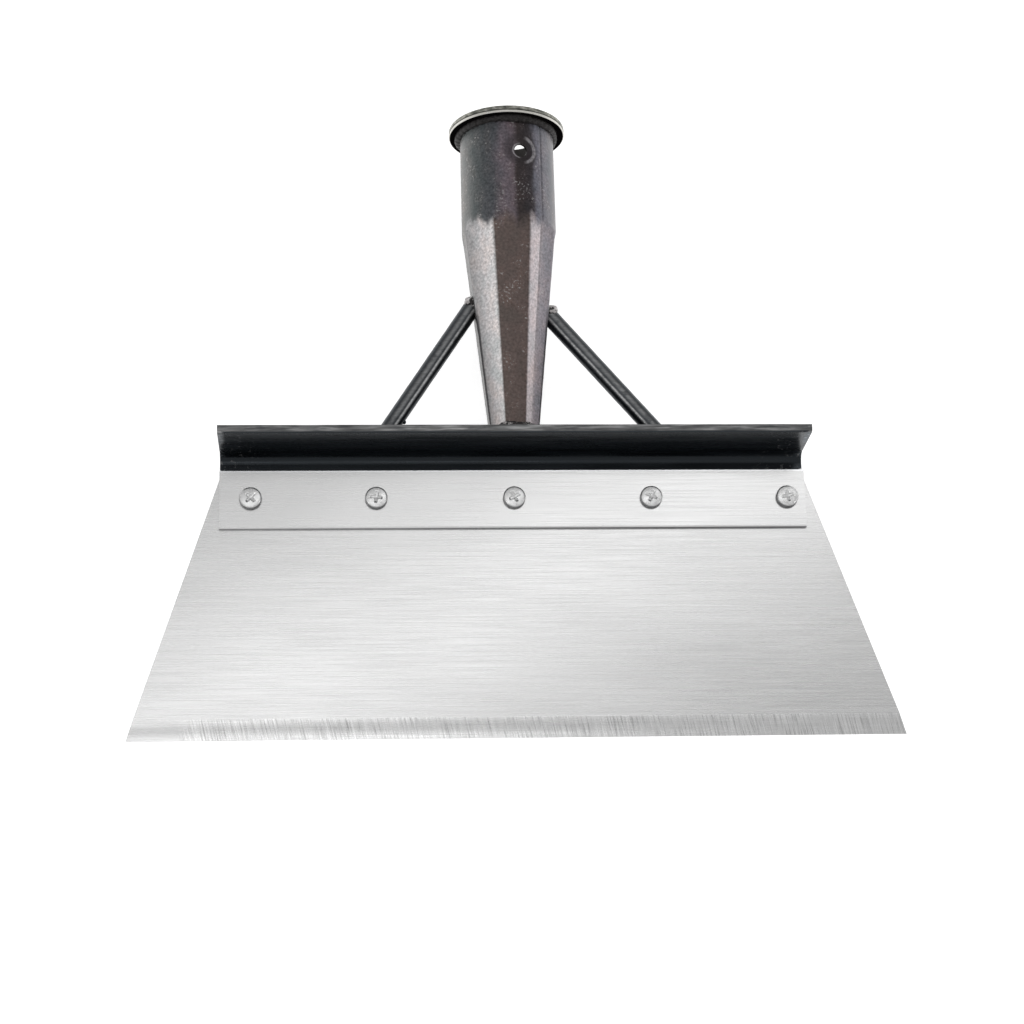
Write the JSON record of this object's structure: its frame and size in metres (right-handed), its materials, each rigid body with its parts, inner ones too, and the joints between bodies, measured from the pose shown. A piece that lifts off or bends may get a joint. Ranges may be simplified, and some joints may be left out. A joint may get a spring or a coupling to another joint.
{
  "type": "floor scraper",
  "caption": "Floor scraper head with a wide bevelled blade clamped to an angle bar and a braced, tapering socket for a straight handle.",
  "frame": {"origin": "middle of the part's footprint, on the surface that it lies on", "axes": "+X along the cutting edge, +Y from the blade to the handle socket's mouth, +Z out of the blade's upper face, towards the screw heads"},
  "size_m": [0.3, 0.251, 0.0475],
  "materials": {
    "blade_steel": "stainless sheet brushed along its width, with a ground bevel",
    "screw_steel": "plain bright screw steel",
    "black_paint": "thin semi-gloss black paint over mill scale, worn grey at the edges",
    "dark_socket_steel": "heat-darkened steel under clear lacquer, mottled grey and brown",
    "worn_ring_steel": "dark steel worn bright along the rim",
    "weld_metal": "rippled weld bead, part painted"
  },
  "bodies": {
    "root": {"blade": "blade_steel", "clamp_plate": "blade_steel", "angle_bar": "black_paint", "left_brace": "black_paint", "right_brace": "black_paint", "socket_tube": "dark_socket_steel", "socket_ring": "worn_ring_steel", "socket_weld": "weld_metal", "ring_weld": "weld_metal", "left_brace_top_weld": "weld_metal", "right_brace_top_weld": "weld_metal", "left_brace_foot_weld": "weld_metal", "right_brace_foot_weld": "weld_metal", "screw_1": "screw_steel", "screw_2": "screw_steel", "screw_3": "screw_steel", "screw_4": "screw_steel", "screw_5": "screw_steel", "lock_washer_1": "screw_steel", "lock_washer_2": "screw_steel", "lock_washer_3": "screw_steel", "lock_washer_4": "screw_steel", "lock_washer_5": "screw_steel", "nut_1": "screw_steel", "nut_2": "screw_steel", "nut_3": "screw_steel", "nut_4": "screw_steel", "nut_5": "screw_steel"}
  },
  "joints": []
}
